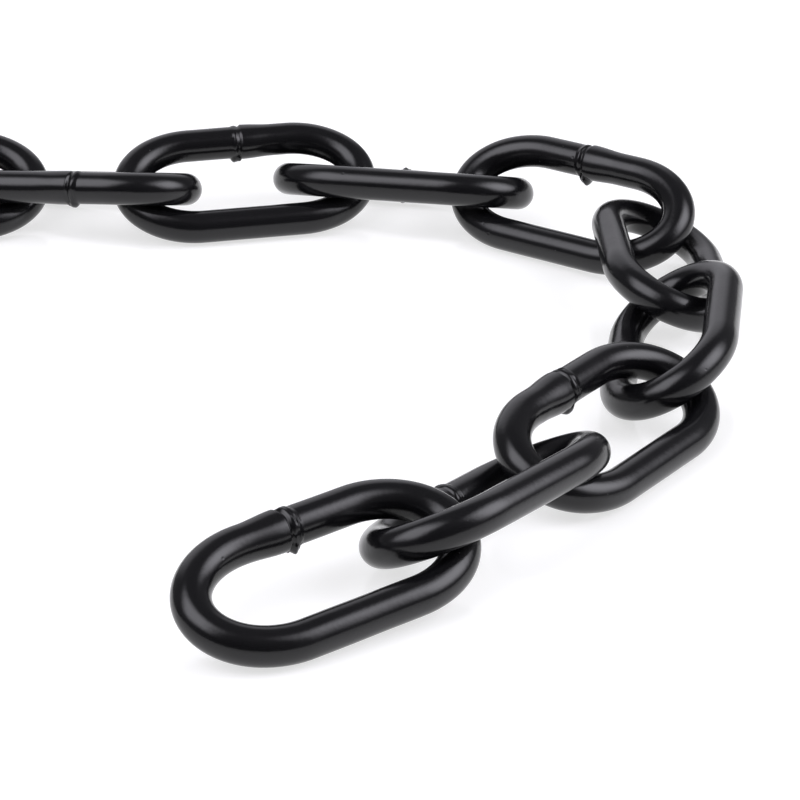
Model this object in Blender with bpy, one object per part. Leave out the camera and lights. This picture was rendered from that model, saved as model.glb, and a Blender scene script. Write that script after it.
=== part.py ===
"""A metre of black coated, side-welded steel chain, laid on a level floor.

Metres, +Z up. The floor is the plane Z = 0. The chain lies in a loose curve, as it falls when it is
pulled off a reel, and its far half is turned back beside itself. Each link is one piece of round wire,
bent into a long oval and welded in the middle of one leg.
"""
import math

import bmesh
import bpy
import numpy as np
from mathutils import Euler, Matrix, Vector

# The link, over its coating
WIRE = 0.0082
INNER_LENGTH = 0.0518
OUTER_WIDTH = 0.0345
END_STRETCH = 1.30

# The weld collar in the middle of one leg
WELD_WIDTH = 0.0046
WELD_PROUD = 0.0003

# The faceted wire: sides round the wire, and bends in each rounded end
WIRE_SIDES = 12
END_BENDS = 9

# Settling: the clearance that two links keep where they bear on each other, the widest they may
# have there, the share of its height that a hanging link drops each round, and the rounds
LINK_GAP = 0.00075
WIDEST_GAP = 0.00085
DROP = 0.2
SETTLE_ROUNDS = 100
PATH_POINTS = 120

# How each link is laid: the place of its middle in millimetres, and its turns in degrees.
# Heading turns its long axis on the floor, rise lifts the end that leads on to the next link,
# and lean rolls it about its long axis, its left leg up for a positive lean. Weld is the leg that
# carries the weld, seen along the heading. The chain runs from its free end, at the front.
# Settling then moves each link a little, until it bears on its neighbours and on the floor.
LAID = [
    (-13, -98, 35, 2, 20, "left"),
    (18.5, -68, 52, -3, -27, "left"),
    (45.5, -31, 54, 0, 20, "left"),
    (62.5, 12.5, 84, 3, -31, "left"),
    (63.5, 59.5, 93, 2, 19, "right"),
    (41.5, 91.5, 147, -1, -36, "right"),
    (0, 109, 167, -5, 19, "right"),
    (-40.5, 105.5, 197, 0, -30, "right"),
    (-85.5, 104.5, 169, -5, 8, "left"),
    (-122, 100.5, 195, -1, -23, "left"),
    (-168, 79, 232, 0, 25, "left"),
    (-184, 35, 263, 0, -25, "left"),
    (-186, -14, 272, 0, 25, "left"),
    (-189, -62, 263, 0, -25, "left"),
    (-212, -100, 220, 0, 30, "left"),
    (-252, -106, 156, 0, -23, "left"),
    (-280, -73, 108, 0, 30, "left"),
    (-288, -24, 92, 0, -25, "left"),
    (-289, 24, 88, 0, 25, "left"),
]

COATING_COLOUR = (0.012, 0.012, 0.014, 1.0)
COATING_ROUGHNESS = 0.32

# The middle of the wire: half the straight leg, and the two half axes of a rounded end
END_ACROSS = (OUTER_WIDTH - WIRE) / 2
END_ALONG = END_ACROSS * END_STRETCH
HALF_LEG = (INNER_LENGTH + WIRE) / 2 - END_ALONG


def clear_scene():
    """Empty the scene that the script starts in."""
    for thing in list(bpy.data.objects):
        bpy.data.objects.remove(thing, do_unlink=True)


def coating_material():
    """The black coating that covers every link."""
    material = bpy.data.materials.new("black_coating")
    material.use_nodes = True
    shader = material.node_tree.nodes["Principled BSDF"]
    shader.inputs["Base Color"].default_value = COATING_COLOUR
    shader.inputs["Roughness"].default_value = COATING_ROUGHNESS
    material.diffuse_color = COATING_COLOUR
    return material


def end_point(angle, side):
    """A point of the wire's middle on a rounded end, and the wire's direction there.

    Angle 0 is the end's tip, and side is 1 for the end towards +X and -1 for the other.
    """
    point = Vector((HALF_LEG + END_ALONG * math.cos(angle), END_ACROSS * math.sin(angle), 0))
    along = Vector((-END_ALONG * math.sin(angle), END_ACROSS * math.cos(angle), 0))
    return point * side, along.normalized() * side


def stations():
    """Where the wire's section is drawn: its middle, its direction and its radius, once round."""
    radius = WIRE / 2
    rings = []
    for side in (-1, 1):
        for bend in range(END_BENDS + 1):
            angle = math.pi * (bend / END_BENDS - 0.5)
            point, along = end_point(angle, side)
            rings.append((point, along, radius))
        if side == 1:
            leg = Vector((-1, 0, 0))
            for place, swell in ((0.5, 0), (0.25, 1), (-0.25, 1), (-0.5, 0)):
                point = Vector((place * WELD_WIDTH, END_ACROSS, 0))
                rings.append((point, leg, radius + swell * WELD_PROUD))
    return rings


def ring_edges(mesh, point, along, radius):
    """Draw the wire's section, a polygon of the round wire's area, square to its direction.

    One of its sides faces straight into the link's eye.
    """
    up = Vector((0, 0, 1))
    outward = along.cross(up)
    axes = Matrix((outward, up, along)).transposed().to_4x4()
    turn = 2 * math.pi / WIRE_SIDES
    corner = radius * math.sqrt(turn / math.sin(turn))
    place = Matrix.Translation(point) @ axes @ Matrix.Rotation(turn / 2, 4, "Z")
    made = bmesh.ops.create_circle(mesh, segments=WIRE_SIDES, radius=corner, matrix=place)
    corners = set(made["verts"])
    return [edge for edge in mesh.edges if edge.verts[0] in corners]


def link_mesh(material):
    """One closed link: sections round the oval, each bridged to the next."""
    mesh = bmesh.new()
    rings = [ring_edges(mesh, *station) for station in stations()]
    for ring, following in zip(rings, rings[1:] + rings[:1]):
        bmesh.ops.bridge_loops(mesh, edges=ring + following)
    bmesh.ops.recalc_face_normals(mesh, faces=mesh.faces)
    data = bpy.data.meshes.new("link")
    mesh.to_mesh(data)
    mesh.free()
    data.materials.append(material)
    data.shade_smooth()
    return data


def wire_path():
    """Points along the middle of the wire, once round the link."""
    points = []
    quarter = PATH_POINTS // 4
    for side in (-1, 1):
        for step in range(quarter):
            point, _ = end_point(math.pi * (step / (quarter - 1) - 0.5), side)
            points.append(point)
        for step in range(1, quarter):
            x = side * HALF_LEG * (1 - 2 * step / quarter)
            points.append(Vector((x, side * END_ACROSS, 0)))
    return np.array(points)


class LaidLink:
    """A link while it is being laid: its middle, its rotation and its wire."""

    path = wire_path()
    spread = float((path ** 2).sum(axis=1).mean())

    def __init__(self, x, y, heading, rise, lean, weld):
        turns = (math.radians(lean), math.radians(-rise), math.radians(heading))
        self.rotation = Euler(turns, "XYZ").to_matrix()
        self.middle = Vector((x / 1000, y / 1000, 0))
        self.middle.z = WIRE / 2 - self.wire()[:, 2].min()
        self.weld = weld

    def wire(self):
        """The middle of the wire, where the link lies."""
        return self.path @ np.array(self.rotation).T + np.array(self.middle)

    def ease(self, point, direction):
        """How readily the link gives when it is pushed at a point."""
        arm = (point - self.middle).cross(direction)
        return 1 + arm.length_squared / self.spread

    def push(self, point, shift):
        """Move the link by a push at a point, which also turns it."""
        turn = (point - self.middle).cross(shift) / self.spread
        self.middle += shift
        if turn.length:
            self.rotation = Matrix.Rotation(turn.length, 3, turn) @ self.rotation


def nearest(one, other):
    """Where two links come nearest: the clearance, the direction across, and a point on each."""
    first, second = one.wire(), other.wire()
    between = second[None, :, :] - first[:, None, :]
    squares = (between ** 2).sum(axis=2)
    i, j = np.unravel_index(squares.argmin(), squares.shape)
    across = Vector(between[i, j])
    return across.length - WIRE, across.normalized(), Vector(first[i]), Vector(second[j])


def space(one, other, widest):
    """Push two links apart, or draw them together, until their clearance is right."""
    clearance, across, at_one, at_other = nearest(one, other)
    wanted = min(max(clearance, LINK_GAP), widest)
    share = (wanted - clearance) / (one.ease(at_one, across) + other.ease(at_other, across))
    one.push(at_one, -share * across)
    other.push(at_other, share * across)


def rest_on_floor(link):
    """Lift a link that has sunk into the floor by its lowest point, and drop one that hangs."""
    wire = link.wire()
    lowest = Vector(wire[wire[:, 2].argmin()])
    height = lowest.z - WIRE / 2
    up = Vector((0, 0, 1))
    if height < 0:
        link.push(lowest, -height / link.ease(lowest, up) * up)
    else:
        link.middle.z -= DROP * height


def settle(links):
    """Let the laid links settle against each other and on the floor."""
    for _ in range(SETTLE_ROUNDS):
        for one, other in zip(links, links[1:]):
            space(one, other, WIDEST_GAP)
        for one, other in zip(links, links[2:]):
            space(one, other, math.inf)
        for link in links:
            rest_on_floor(link)


def lay_chain():
    """Lay the chain, settle it, and stand its box on the origin."""
    links = [LaidLink(*row) for row in LAID]
    settle(links)
    mesh = link_mesh(coating_material())
    corners = [Vector(corner.co) for corner in mesh.vertices]
    poses = []
    for link in links:
        roll = Matrix.Rotation(0 if link.weld == "left" else math.pi, 3, "X")
        poses.append(Matrix.Translation(link.middle) @ (link.rotation @ roll).to_4x4())
    cloud = np.array([pose @ corner for pose in poses for corner in corners])
    low, high = cloud.min(axis=0), cloud.max(axis=0)
    to_origin = Matrix.Translation((-(low[0] + high[0]) / 2, -(low[1] + high[1]) / 2, -low[2]))
    for number, pose in enumerate(poses, start=1):
        piece = bpy.data.objects.new(f"link_{number:02d}", mesh)
        piece.matrix_world = to_origin @ pose
        bpy.context.scene.collection.objects.link(piece)


clear_scene()
lay_chain()
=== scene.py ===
"""A metre of black coated, side-welded steel chain, loosely laid on a white photo table.

Every link is drawn again here at full detail where the CAD model has it: round wire, the weld in the
middle of one leg with its swollen side, bead, ridges and burr, and the gloss black coating. Metres,
+Z up, but for the weld's own measures, which are in millimetres.
"""
import math

import bmesh
import bpy
import numpy as np
from mathutils import Matrix, Vector, noise


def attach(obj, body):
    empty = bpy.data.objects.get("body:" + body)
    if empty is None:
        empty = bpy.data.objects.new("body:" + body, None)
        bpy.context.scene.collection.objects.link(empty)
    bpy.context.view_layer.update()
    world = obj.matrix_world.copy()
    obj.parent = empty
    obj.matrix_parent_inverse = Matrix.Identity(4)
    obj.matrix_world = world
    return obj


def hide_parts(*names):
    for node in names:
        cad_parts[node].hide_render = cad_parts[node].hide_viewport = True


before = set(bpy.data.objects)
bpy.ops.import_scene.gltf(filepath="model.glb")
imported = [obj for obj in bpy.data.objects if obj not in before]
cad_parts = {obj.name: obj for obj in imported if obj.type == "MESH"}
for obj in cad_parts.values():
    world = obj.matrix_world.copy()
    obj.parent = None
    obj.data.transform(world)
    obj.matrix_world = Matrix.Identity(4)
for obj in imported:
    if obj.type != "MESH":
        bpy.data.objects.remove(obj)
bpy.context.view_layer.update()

# The link, over its coating, as in the CAD model
WIRE = 0.0082
INNER_LENGTH = 0.0518
OUTER_WIDTH = 0.0345
END_STRETCH = 1.30
RADIUS = WIRE / 2
END_ACROSS = (OUTER_WIDTH - WIRE) / 2
END_ALONG = END_ACROSS * END_STRETCH
HALF_LEG = (INNER_LENGTH + WIRE) / 2 - END_ALONG

# How finely the wire is drawn: sides round it, and sections in an end, in the plain leg, in the weld,
# in the swell on each side of it and in what is left of the welded leg
WIRE_SIDES = 72
END_SECTIONS = 48
LEG_SECTIONS = 24
WELD_SECTIONS = 72
SWELL_SECTIONS = 12
REST_SECTIONS = 4

# The weld, along its leg: half the length with close sections, how far the wire swells up to it, and
# the round wire that is always left at the leg's ends
WELD_HALF = 0.0042
SWELL_REACH = 0.0095
LEG_MARGIN = 0.001

# From here to the table of welds, lengths are in millimetres and angles in radians.
# The joint's line wanders along the wire, and lumps, patches and grain repeat round the wire and along
# it. Lumps and patches are read from different layers of the noise, so that they don't match.
MILLIMETRE = 0.001
SEAM_WANDER = 0.3
SEAM_SCALE = 1.6
LUMP_SCALE = 1.4
LUMP_LAYER = 5
PATCH_SCALE = 1.9
PATCH_LAYER = 3
GRAIN_ALONG = 0.8
GRAIN_ROUND = 2.6

# The swollen side: where it starts and is full, its height, what its lumps add, how much it is pressed
# flat and where round the wire that is most, and its rim at the joint when that is soft and when crisp
SWELL_START = -9
SWELL_FULL = -1
SWELL_HEIGHT = 0.32
SWELL_LUMPS = 0.1
SWELL_PRESSED = 0.18
SWELL_FLAT = 1.45
SOFT_RIM = 0.9
CRISP_RIM = 0.35

# The bead beside the joint: where it starts and is full, how it falls off about its width, its height,
# and what its lumps and its grain add
BEAD_START = 0.1
BEAD_FULL = 1.0
BEAD_FALL = 1.1
BEAD_TAIL = 0.1
BEAD_HEIGHT = 0.14
BEAD_LUMPS = 0.42
BEAD_GRAIN = 0.12

# The ridges on the bead: where they start and are full, where they end about its width, their height,
# pitch and phase, and the noise of a bare patch of the bead and of a fully ridged one
RIDGE_START = 0.7
RIDGE_FULL = 1.2
RIDGE_FALL = 0.2
RIDGE_TAIL = 0.3
RIDGE_HEIGHT = 0.15
RIDGE_PITCH = 0.8
RIDGE_PHASE = 0.2
BARE_PATCH = -0.1
RIDGED_PATCH = 0.25

# The groove along the joint: its place and width, its least depth, and what a crisp weld adds
GROOVE_PLACE = 0.1
GROOVE_WIDTH = 0.25
GROOVE_DEPTH = 0.02
GROOVE_CRISP = 0.22

# The burr: half its foot along the wire and round it, how round its top is, and its lumps
BURR_HALF = 1.45
BURR_TURN = 0.6
BURR_ROUNDING = 0.8
BURR_LUMPS = 0.3
BURR_GRAIN_ROUND = 2.5

# Each link's weld: its place along the leg from the leg's middle, which way the swollen side looks,
# the width of the bead, the strength of its ridges, the burr's height, where the burr stands round the
# wire in degrees from the inside of the eye, and how far it stands from the joint. The first nine are
# as the photograph shows them, where it does.
WELDS = [
    (-3, -1, 2.9, 0.8, 0.95, -34, 0.9),
    (0.5, -1, 2.6, 0.9, 0.8, -40, 0.3),
    (-2.1, -1, 2.9, 1.3, 1.1, -38, 0.6),
    (0.6, -1, 2.5, 0.6, 0.8, 15, 0.2),
    (-0.6, -1, 2.6, 0.7, 0.9, 30, 0.6),
    (1.3, -1, 1.9, 0.25, 1.5, 30, -0.2),
    (1.8, -1, 2.2, 0.5, 0.8, -120, 0.4),
    (-0.3, -1, 2.1, 0.2, 1.1, 36, 0.4),
    (-4.7, 1, 2.4, 0.5, 0.7, -94, 0.8),
    (0.4, -1, 2.4, 0.7, 1, 20, 0.1),
    (-0.8, -1, 2.8, 1, 0.7, -25, 0.7),
    (1.1, 1, 2.2, 0.4, 1.1, 30, 0.3),
    (-0.3, -1, 2.6, 0.9, 0.8, 10, 0.9),
    (0.9, -1, 2.9, 0.6, 1.2, -30, 0.4),
    (-1.2, 1, 2.3, 1.1, 0.9, 25, 0.1),
    (0.2, -1, 2.5, 0.3, 1.1, -15, 0.6),
    (-0.6, -1, 3, 0.8, 0.8, 35, 0.8),
    (1.3, -1, 2.2, 0.5, 1, -20, 0.2),
    (-0.9, 1, 2.6, 1, 0.9, 15, 0.5),
]

# The uneven surface of drawn and coated wire: the height and length of its waves, and how far they are
# shifted from one link to the next
WIRE_WAVE = 0.00004
WIRE_WAVE_LENGTH = 0.009
WAVE_SHIFT = Vector((3.1, 1.7, 0))

# The coating: its black where it lies thick and thin, the dust on it, its refractive index, and its
# roughness from the glossiest patch to the dullest
BLACK_DEEP = (0.0034, 0.0034, 0.004, 1)
BLACK_WORN = (0.0048, 0.0047, 0.0056, 1)
DUST_COLOUR = (0.06, 0.06, 0.06, 1)
COATING_IOR = 1.45
GLOSS = (0.14, 0.215)

# How fine its patterns are, in repeats a metre, and how much detail they have: the patches of black, the
# patches of gloss and the orange peel, the lines of the drawn wire, fine across it and long along it,
# and the range that the soft noise mostly fills
BLACK_SCALE = 60
BLACK_DETAIL = 2.0
GLOSS_SCALE = 240
PEEL_SCALE = 900
FINE_DETAIL = 4.0
DRAWING_LINES = 1100
DRAWING_DETAIL = 3.0
DRAWING_STRETCH = (1, 1, 0.02)
CLOUD_RANGE = (0.3, 0.7)

# Pits and specks of dust: how many a metre, and their radius
PIT_SCALE = 120
PIT_RADIUS = 0.00042
DUST_SCALE = 180
DUST_RADIUS = 0.00022

# The share of each pattern in the gloss and in the relief, and how strong the relief is
GLOSS_CLOUDS = 0.6
GLOSS_LINES = 0.4
RELIEF_PEEL = 0.55
RELIEF_LINES = 0.25
RELIEF_PITS = -2.5
RELIEF_STRENGTH = 0.12
RELIEF_HEIGHT = 0.0003

# The table top, a cloudy white sheet that is lit from below as well
TABLE_SIZE = 6
TABLE_COLOUR = (0.45, 0.45, 0.45, 1)
TABLE_ROUGHNESS = 0.1
TABLE_IOR = 1.35
TABLE_GLOW = 0.66

# The camera, as it stood for the photograph: angles in degrees
FRAME_PIXELS = 800
FOCAL_PIXELS = 3088
CAMERA_TARGET = Vector((0.1124, 0.0011, 0))
CAMERA_AZIMUTH = 0.51
CAMERA_ELEVATION = 25.57
CAMERA_DISTANCE = 0.7017
CAMERA_ROLL = 0.46
SENSOR = 36

# The light: the soft boxes' faintly cool cloth, and the room's, dim in front of the chain and behind it.
# The front ends where a direction points this far forward, and 1 is straight forward.
SOFTBOX_COLOUR = (0.94, 0.93, 1.0)
ROOM_COLOUR = (0.95, 0.94, 1, 1)
ROOM_FRONT = 0.05
ROOM_BACK = 0.19
FRONT_END = 0.49


def end_point(angle, side):
    """A point of the wire's middle on a rounded end, and the wire's direction there."""
    point = Vector((HALF_LEG + END_ALONG * math.cos(angle), END_ACROSS * math.sin(angle), 0))
    along = Vector((-END_ALONG * math.sin(angle), END_ACROSS * math.cos(angle), 0))
    return point * side, along.normalized() * side


def steps(first, last, count):
    """Evenly spaced values between two ends, leaving both ends out."""
    return [first + (last - first) * step / (count + 1) for step in range(1, count + 1)]


def weld_leg_places(middle):
    """Where the welded leg's sections stand, packed close together at the weld."""
    last = HALF_LEG - LEG_MARGIN
    stops = [HALF_LEG, min(middle + SWELL_REACH, last), middle + WELD_HALF]
    stops += [middle - WELD_HALF, max(middle - SWELL_REACH, -last), -HALF_LEG]
    counts = [REST_SECTIONS, SWELL_SECTIONS, WELD_SECTIONS, SWELL_SECTIONS, REST_SECTIONS]
    places = []
    for start, end, count in zip(stops, stops[1:], counts):
        places += steps(start, end, count) + [end]
    return places[:-1]


def wire_sections(weld_middle):
    """The middle and the direction of every section, once round the link."""
    sections = []
    for side in (-1, 1):
        for bend in range(END_SECTIONS + 1):
            sections.append(end_point(math.pi * (bend / END_SECTIONS - 0.5), side))
        if side == 1:
            places = weld_leg_places(weld_middle)
        else:
            places = steps(-HALF_LEG, HALF_LEG, LEG_SECTIONS)
        for place in places:
            sections.append((Vector((place, side * END_ACROSS, 0)), Vector((-side, 0, 0))))
    return sections


def draw_section(mesh, place_on_wire, middle, along, distance):
    """Draw a round section of the wire, note where it is on the wire, and give its edges."""
    up = Vector((0, 0, 1))
    axes = Matrix((along.cross(up), up, along)).transposed().to_4x4()
    place = Matrix.Translation(middle) @ axes
    made = bmesh.ops.create_circle(mesh, segments=WIRE_SIDES, radius=RADIUS, matrix=place)
    for number, corner in enumerate(made["verts"]):
        turn = 2 * math.pi * number / WIRE_SIDES
        corner[place_on_wire] = (RADIUS * math.cos(turn), RADIUS * math.sin(turn), distance)
    return list({edge for corner in made["verts"] for edge in corner.link_edges})


def plain_link(weld_middle):
    """A closed link of round wire, with sections close together where its weld will be."""
    mesh = bmesh.new()
    place_on_wire = mesh.verts.layers.float_vector.new("place_on_wire")
    rings = []
    distance = 0
    before = None
    for middle, along in wire_sections(weld_middle):
        if before is not None:
            distance += (middle - before).length
        before = middle
        rings.append(draw_section(mesh, place_on_wire, middle, along, distance))
    for ring, following in zip(rings, rings[1:] + rings[:1]):
        bmesh.ops.bridge_loops(mesh, edges=ring + following)
    bmesh.ops.recalc_face_normals(mesh, faces=mesh.faces)
    return mesh


def shape_wire(mesh, seed):
    """Give the wire the faint waves of drawn and coated steel."""
    mesh.normal_update()
    for corner in mesh.verts:
        wave = noise.noise(corner.co / WIRE_WAVE_LENGTH + WAVE_SHIFT * seed)
        corner.co += corner.normal * wave * WIRE_WAVE


def bump(value, middle, width):
    """A smooth hump, 1 high."""
    return math.exp(-((value - middle) / width) ** 2)


def ease(value, start, end):
    """A smooth step from 0 at the start to 1 at the end."""
    share = min(max((value - start) / (end - start), 0), 1)
    return share * share * (3 - 2 * share)


class Weld:
    """One link's weld, and how far it stands out of the round wire, in millimetres.

    Place is 0 at the middle of the joint and negative on the swollen side, and seam is the place
    measured from the joint's wandering line. Turn goes round the wire from the inside of the eye.
    Crisp is 1 for a weld with sharp edges, and less for a smooth one.
    """

    def __init__(self, number):
        row = WELDS[number]
        self.place, self.swollen_side, self.width, self.ridges = row[:4]
        self.burr_height, self.burr_turn, self.burr_place = row[4:]
        self.crisp = min(self.ridges, 1)
        self.seed = number

    def seam(self, place, turn, round_wire):
        """The place, measured from the joint's wandering line."""
        wander = noise.noise(round_wire * SEAM_SCALE + Vector((0, 0, self.seed)))
        return place - SEAM_WANDER * math.cos(turn - self.seed) - SEAM_WANDER * wander

    def lumps(self, round_wire):
        """How lumpy the weld is on this side of the wire, from 0 to 1."""
        lumps = noise.noise(round_wire * LUMP_SCALE + Vector((self.seed, 0, LUMP_LAYER)))
        return min(max(0.5 + lumps, 0), 1)

    def swell(self, place, seam, turn, lumps):
        """The swollen side, pressed flat on two sides, which ends in a rim at the joint."""
        rim = SOFT_RIM + (CRISP_RIM - SOFT_RIM) * self.crisp
        share = ease(place, SWELL_START, SWELL_FULL) * (1 - ease(seam, -rim, 0))
        pressed = math.cos(2 * (turn - SWELL_FLAT))
        return share * (SWELL_HEIGHT + SWELL_LUMPS * lumps - SWELL_PRESSED * pressed)

    def bead(self, place, seam, turn, lumps):
        """The lumpy bead beside the joint, lower on a smooth weld."""
        share = ease(seam, BEAD_START, BEAD_FULL)
        share *= 1 - ease(seam, self.width - BEAD_FALL, self.width + BEAD_TAIL)
        share *= (1 + self.crisp) / 2
        grain = noise.noise(Vector((place * GRAIN_ALONG, turn * GRAIN_ROUND, self.seed)))
        return share * (BEAD_HEIGHT + BEAD_LUMPS * lumps + BEAD_GRAIN * grain)

    def marks(self, seam, round_wire):
        """Patches of ridges on the bead, and the groove along the joint."""
        patch = noise.noise(round_wire * PATCH_SCALE + Vector((self.seed, PATCH_LAYER, 0)))
        share = ease(patch, BARE_PATCH, RIDGED_PATCH) * self.ridges * ease(seam, RIDGE_START, RIDGE_FULL)
        share *= 1 - ease(seam, self.width - RIDGE_FALL, self.width + RIDGE_TAIL)
        ridge = RIDGE_HEIGHT * math.sin(2 * math.pi * (seam - RIDGE_PHASE) / RIDGE_PITCH)
        groove = (GROOVE_DEPTH + GROOVE_CRISP * self.crisp) * bump(seam, GROOVE_PLACE, GROOVE_WIDTH)
        return share * ridge - groove

    def burr(self, seam, turn):
        """The drop of metal pressed out of the joint: a lumpy dome with a wide foot, 1 high."""
        off_burr = (turn - math.radians(self.burr_turn) + math.pi) % (2 * math.pi) - math.pi
        foot = math.hypot((seam - self.burr_place) / BURR_HALF, off_burr / BURR_TURN)
        grain = noise.noise(Vector((seam * GRAIN_ALONG, turn * BURR_GRAIN_ROUND, self.seed)))
        return (1 + BURR_LUMPS * grain) * max(1 - foot ** 2, 0) ** BURR_ROUNDING

    def relief(self, place, turn):
        """How far the weld stands out. The burr covers the ridges and the groove."""
        round_wire = Vector((math.cos(turn), math.sin(turn), 0))
        seam = self.seam(place, turn, round_wire)
        lumps = self.lumps(round_wire)
        height = self.swell(place, seam, turn, lumps) + self.bead(place, seam, turn, lumps)
        burr = self.burr(seam, turn)
        height += self.marks(seam, round_wire) * (1 - min(burr, 1))
        return height + burr * self.burr_height


def shape_weld(mesh, weld):
    """Raise the weld on the leg at +Y."""
    for corner in mesh.verts:
        x, y, z = corner.co
        if y < 0 or abs(x) > SWELL_REACH + WELD_HALF:
            continue
        out = Vector((0, y - END_ACROSS, z)).normalized()
        turn = math.atan2(out.z, -out.y)
        place = -weld.swollen_side * (x / MILLIMETRE - weld.place)
        corner.co += out * weld.relief(place, turn) * MILLIMETRE


def corners_of(node):
    """The corners of a CAD node, each once."""
    points = np.array([corner.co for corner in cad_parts[node].data.vertices])
    return np.unique(points.round(6), axis=0)


def link_pose(node, next_middle):
    """Where a link lies, read from its CAD node: +X leads to the next link and +Y to the weld."""
    points = corners_of(node)
    _, axes = np.linalg.eigh(np.cov((points - points.mean(axis=0)).T))
    long, wide = axes[:, 2], axes[:, 1]
    # The weld has more corners than the plain leg, so the corners' mean lies off the middle, towards it
    seen = (points - points.mean(axis=0)) @ np.array([long, wide]).T
    ends = seen[np.abs(seen[:, 0]) > HALF_LEG]
    off_middle = (ends[:, 1].max() + ends[:, 1].min()) / 2
    middle = points.mean(axis=0) + off_middle * wide
    if off_middle > 0:
        wide = -wide
    if long @ (next_middle - middle) < 0:
        long = -long
    axes = Matrix((long, wide, np.cross(long, wide))).transposed().to_4x4()
    return Matrix.Translation(middle) @ axes


class Shading:
    """Adds nodes to a material, a lamp or the world. A source is an output, or a plain value."""

    def __init__(self, owner):
        owner.use_nodes = True
        self.nodes = owner.node_tree.nodes
        self.links = owner.node_tree.links

    def set(self, socket, source):
        """Link an output to a socket, or give the socket a plain value."""
        if isinstance(source, bpy.types.NodeSocket):
            self.links.new(source, socket)
        else:
            socket.default_value = source

    def set_all(self, node, sources):
        """Set a node's sockets by name."""
        for name, source in sources.items():
            self.set(node.inputs[name], source)

    def add(self, kind, sources):
        """A new node with its sockets set."""
        node = self.nodes.new("ShaderNode" + kind)
        self.set_all(node, sources)
        return node

    def calculate(self, operation, *sources):
        """A sum, product or the like."""
        node = self.nodes.new("ShaderNodeMath")
        node.operation = operation
        for socket, source in zip(node.inputs, sources):
            self.set(socket, source)
        return node.outputs["Value"]

    def blend(self, first, first_share, second, second_share):
        """The sum of two patterns, each times its share."""
        first_part = self.calculate("MULTIPLY", first, first_share)
        second_part = self.calculate("MULTIPLY", second, second_share)
        return self.calculate("ADD", first_part, second_part)

    def stretch(self, source, low, high, to_low=0, to_high=1, smooth=False):
        """Turn the range from low to high into another one, and hold what lies outside at its ends."""
        sources = {"Value": source, "From Min": low, "From Max": high, "To Min": to_low, "To Max": to_high}
        node = self.add("MapRange", sources)
        if smooth:
            node.interpolation_type = "SMOOTHSTEP"
        return node.outputs["Result"]

    def clouds(self, where, scale, detail):
        """Soft noise."""
        node = self.add("TexNoise", {"Vector": where, "Scale": scale, "Detail": detail})
        return node.outputs["Fac"]

    def dots(self, where, scale, radius):
        """Small round dots, 1 in their middles."""
        cells = self.add("TexVoronoi", {"Vector": where, "Scale": scale})
        return self.stretch(cells.outputs["Distance"], radius * scale, 0)

    def tint(self, share, first, second):
        """A colour between two others."""
        node = self.add("Mix", {"Factor": share})
        node.data_type = "RGBA"
        for name, source in (("A", first), ("B", second)):
            socket = [socket for socket in node.inputs if socket.name == name and socket.type == "RGBA"][0]
            self.set(socket, source)
        return [socket for socket in node.outputs if socket.type == "RGBA"][0]


def drawing_lines(shading):
    """The lines that the die leaves along drawn wire, as a pattern."""
    on_wire = shading.nodes.new("ShaderNodeAttribute")
    on_wire.attribute_name = "place_on_wire"
    along = shading.add("Mapping", {"Vector": on_wire.outputs["Vector"], "Scale": DRAWING_STRETCH})
    return shading.clouds(along.outputs["Vector"], DRAWING_LINES, DRAWING_DETAIL)


def coating():
    """Gloss black coating over drawn steel: orange peel, faint drawing lines, pits and dust."""
    material = bpy.data.materials.new("black_coating")
    shading = Shading(material)
    where = shading.nodes.new("ShaderNodeTexCoord").outputs["Object"]
    lines = drawing_lines(shading)

    black = shading.tint(shading.clouds(where, BLACK_SCALE, BLACK_DETAIL), BLACK_DEEP, BLACK_WORN)
    dust = shading.dots(where, DUST_SCALE, DUST_RADIUS)
    clouds = shading.clouds(where, GLOSS_SCALE, FINE_DETAIL)
    gloss = shading.blend(clouds, GLOSS_CLOUDS, lines, GLOSS_LINES)

    peel = shading.clouds(where, PEEL_SCALE, FINE_DETAIL)
    relief = shading.blend(peel, RELIEF_PEEL, lines, RELIEF_LINES)
    relief = shading.blend(relief, 1, shading.dots(where, PIT_SCALE, PIT_RADIUS), RELIEF_PITS)
    surface = shading.add("Bump", {"Height": relief, "Strength": RELIEF_STRENGTH, "Distance": RELIEF_HEIGHT})

    shading.set_all(shading.nodes["Principled BSDF"], {
        "Base Color": shading.tint(dust, black, DUST_COLOUR),
        "Roughness": shading.stretch(gloss, *CLOUD_RANGE, *GLOSS),
        "IOR": COATING_IOR,
        "Normal": surface.outputs["Normal"],
    })
    return material


def build_links(material):
    """Draw every link where its CAD node is."""
    names = sorted(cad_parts)
    middles = [corners_of(name).mean(axis=0) for name in names]
    middles.append(2 * middles[-1] - middles[-2])
    for number, name in enumerate(names):
        weld = Weld(number)
        mesh = plain_link(weld.place * MILLIMETRE)
        shape_wire(mesh, number)
        shape_weld(mesh, weld)
        mesh.transform(link_pose(name, middles[number + 1]))
        data = bpy.data.meshes.new(name + "_wire")
        mesh.to_mesh(data)
        mesh.free()
        data.materials.append(material)
        data.shade_smooth()
        piece = bpy.data.objects.new(name + "_wire", data)
        bpy.context.scene.collection.objects.link(piece)
        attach(piece, "root")
        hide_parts(name)


def build_table():
    """The plain white table top."""
    material = bpy.data.materials.new("white_table")
    shading = Shading(material)
    shading.set_all(shading.nodes["Principled BSDF"], {
        "Base Color": TABLE_COLOUR,
        "Roughness": TABLE_ROUGHNESS,
        "IOR": TABLE_IOR,
        "Emission Color": (1, 1, 1, 1),
        "Emission Strength": TABLE_GLOW,
    })
    bpy.ops.mesh.primitive_plane_add(size=TABLE_SIZE, location=(0, 0, 0))
    table = bpy.context.object
    table.name = "table_top"
    table.data.materials.append(material)


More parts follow.
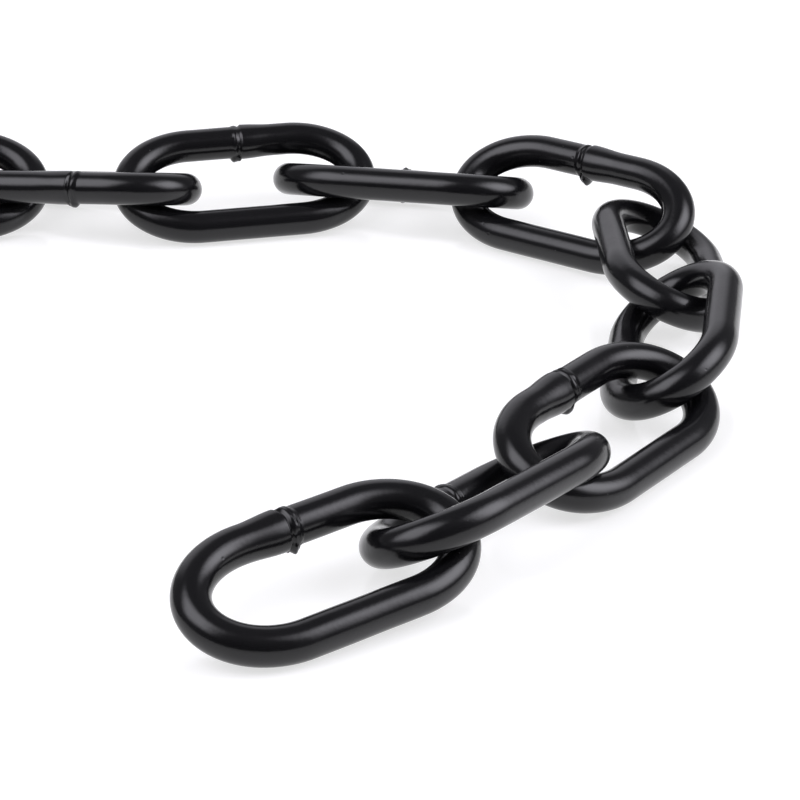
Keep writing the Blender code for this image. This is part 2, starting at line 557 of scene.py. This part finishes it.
def towards(azimuth, elevation):
    """The direction of a lamp or camera: azimuth 0 is the front, and grows to the right."""
    turn, lift = math.radians(azimuth), math.radians(elevation)
    return Vector((math.sin(turn) * math.cos(lift), -math.cos(turn) * math.cos(lift), math.sin(lift)))


def looking_from(direction, distance, roll):
    """The place of a lamp or camera that looks at the camera's target from a direction."""
    aim = direction.to_track_quat("Z", "Y").to_matrix().to_4x4()
    turn = Matrix.Rotation(math.radians(roll), 4, "Z")
    return Matrix.Translation(CAMERA_TARGET + direction * distance) @ aim @ turn


def fading_cloth(lamp, fade):
    """Let a soft box fade towards its edges, over a share of its width, as its cloth does."""
    shading = Shading(lamp)
    place = shading.nodes.new("ShaderNodeNewGeometry").outputs["Parametric"]
    sides = shading.add("SeparateXYZ", {"Vector": place})
    shares = []
    for axis in ("X", "Y"):
        off_middle = shading.calculate("ABSOLUTE", shading.calculate("SUBTRACT", sides.outputs[axis], 0.5))
        shares.append(shading.stretch(off_middle, 0.5, 0.5 - fade, smooth=True))
    shading.set(shading.nodes["Emission"].inputs["Strength"], shading.calculate("MULTIPLY", *shares))


def softbox(name, direction, distance, size, brightness, twist=0, fade=0.3):
    """A soft box that faces the middle of the chain."""
    lamp = bpy.data.lights.new(name, "AREA")
    lamp.shape = "RECTANGLE"
    lamp.size, lamp.size_y = size
    lamp.energy = brightness * math.pi * lamp.size * lamp.size_y
    lamp.color = SOFTBOX_COLOUR
    fading_cloth(lamp, fade)
    light = bpy.data.objects.new(name, lamp)
    light.matrix_world = looking_from(direction, distance, twist)
    bpy.context.scene.collection.objects.link(light)
    return light


def build_room():
    """A dim room, darker in front, where the camera stands."""
    world = bpy.data.worlds.new("studio")
    shading = Shading(world)
    direction = shading.nodes.new("ShaderNodeTexCoord").outputs["Generated"]
    back = shading.add("SeparateXYZ", {"Vector": direction}).outputs["Y"]
    shading.set_all(shading.nodes["Background"], {
        "Color": ROOM_COLOUR,
        "Strength": shading.stretch(back, -1, -FRONT_END, ROOM_FRONT, ROOM_BACK),
    })
    bpy.context.scene.world = world


def build_lights():
    """A soft box to each side, a card behind, and a top light that the chain's gloss doesn't show."""
    softbox("soft_box_right", towards(83, 38.6), distance=0.89, size=(1.1, 1.16),
            brightness=5.2, twist=-4, fade=0.43)
    softbox("soft_box_left", towards(-61, 51.4), distance=1.3, size=(1.65, 1.67),
            brightness=3.75, twist=12, fade=0.36)
    softbox("card_behind", towards(-167, 25), distance=1.2, size=(1.8, 1.36), brightness=0.72)
    top = softbox("table_light", Vector((0, 0, 1)), distance=1.2, size=(0.5, 0.5), brightness=1.55)
    top.visible_glossy = False
    build_room()
    bpy.context.scene.view_settings.view_transform = "Standard"


def place_camera():
    """The camera of the photograph: level with its horizon but for a slight roll."""
    lens = bpy.data.cameras.new("camera")
    lens.sensor_width = SENSOR
    lens.lens = FOCAL_PIXELS * SENSOR / FRAME_PIXELS
    camera = bpy.data.objects.new("camera", lens)
    back = towards(CAMERA_AZIMUTH, CAMERA_ELEVATION)
    camera.matrix_world = looking_from(back, CAMERA_DISTANCE, CAMERA_ROLL)
    bpy.context.scene.collection.objects.link(camera)
    bpy.context.scene.camera = camera


place_camera()
build_links(coating())
build_table()
build_lights()
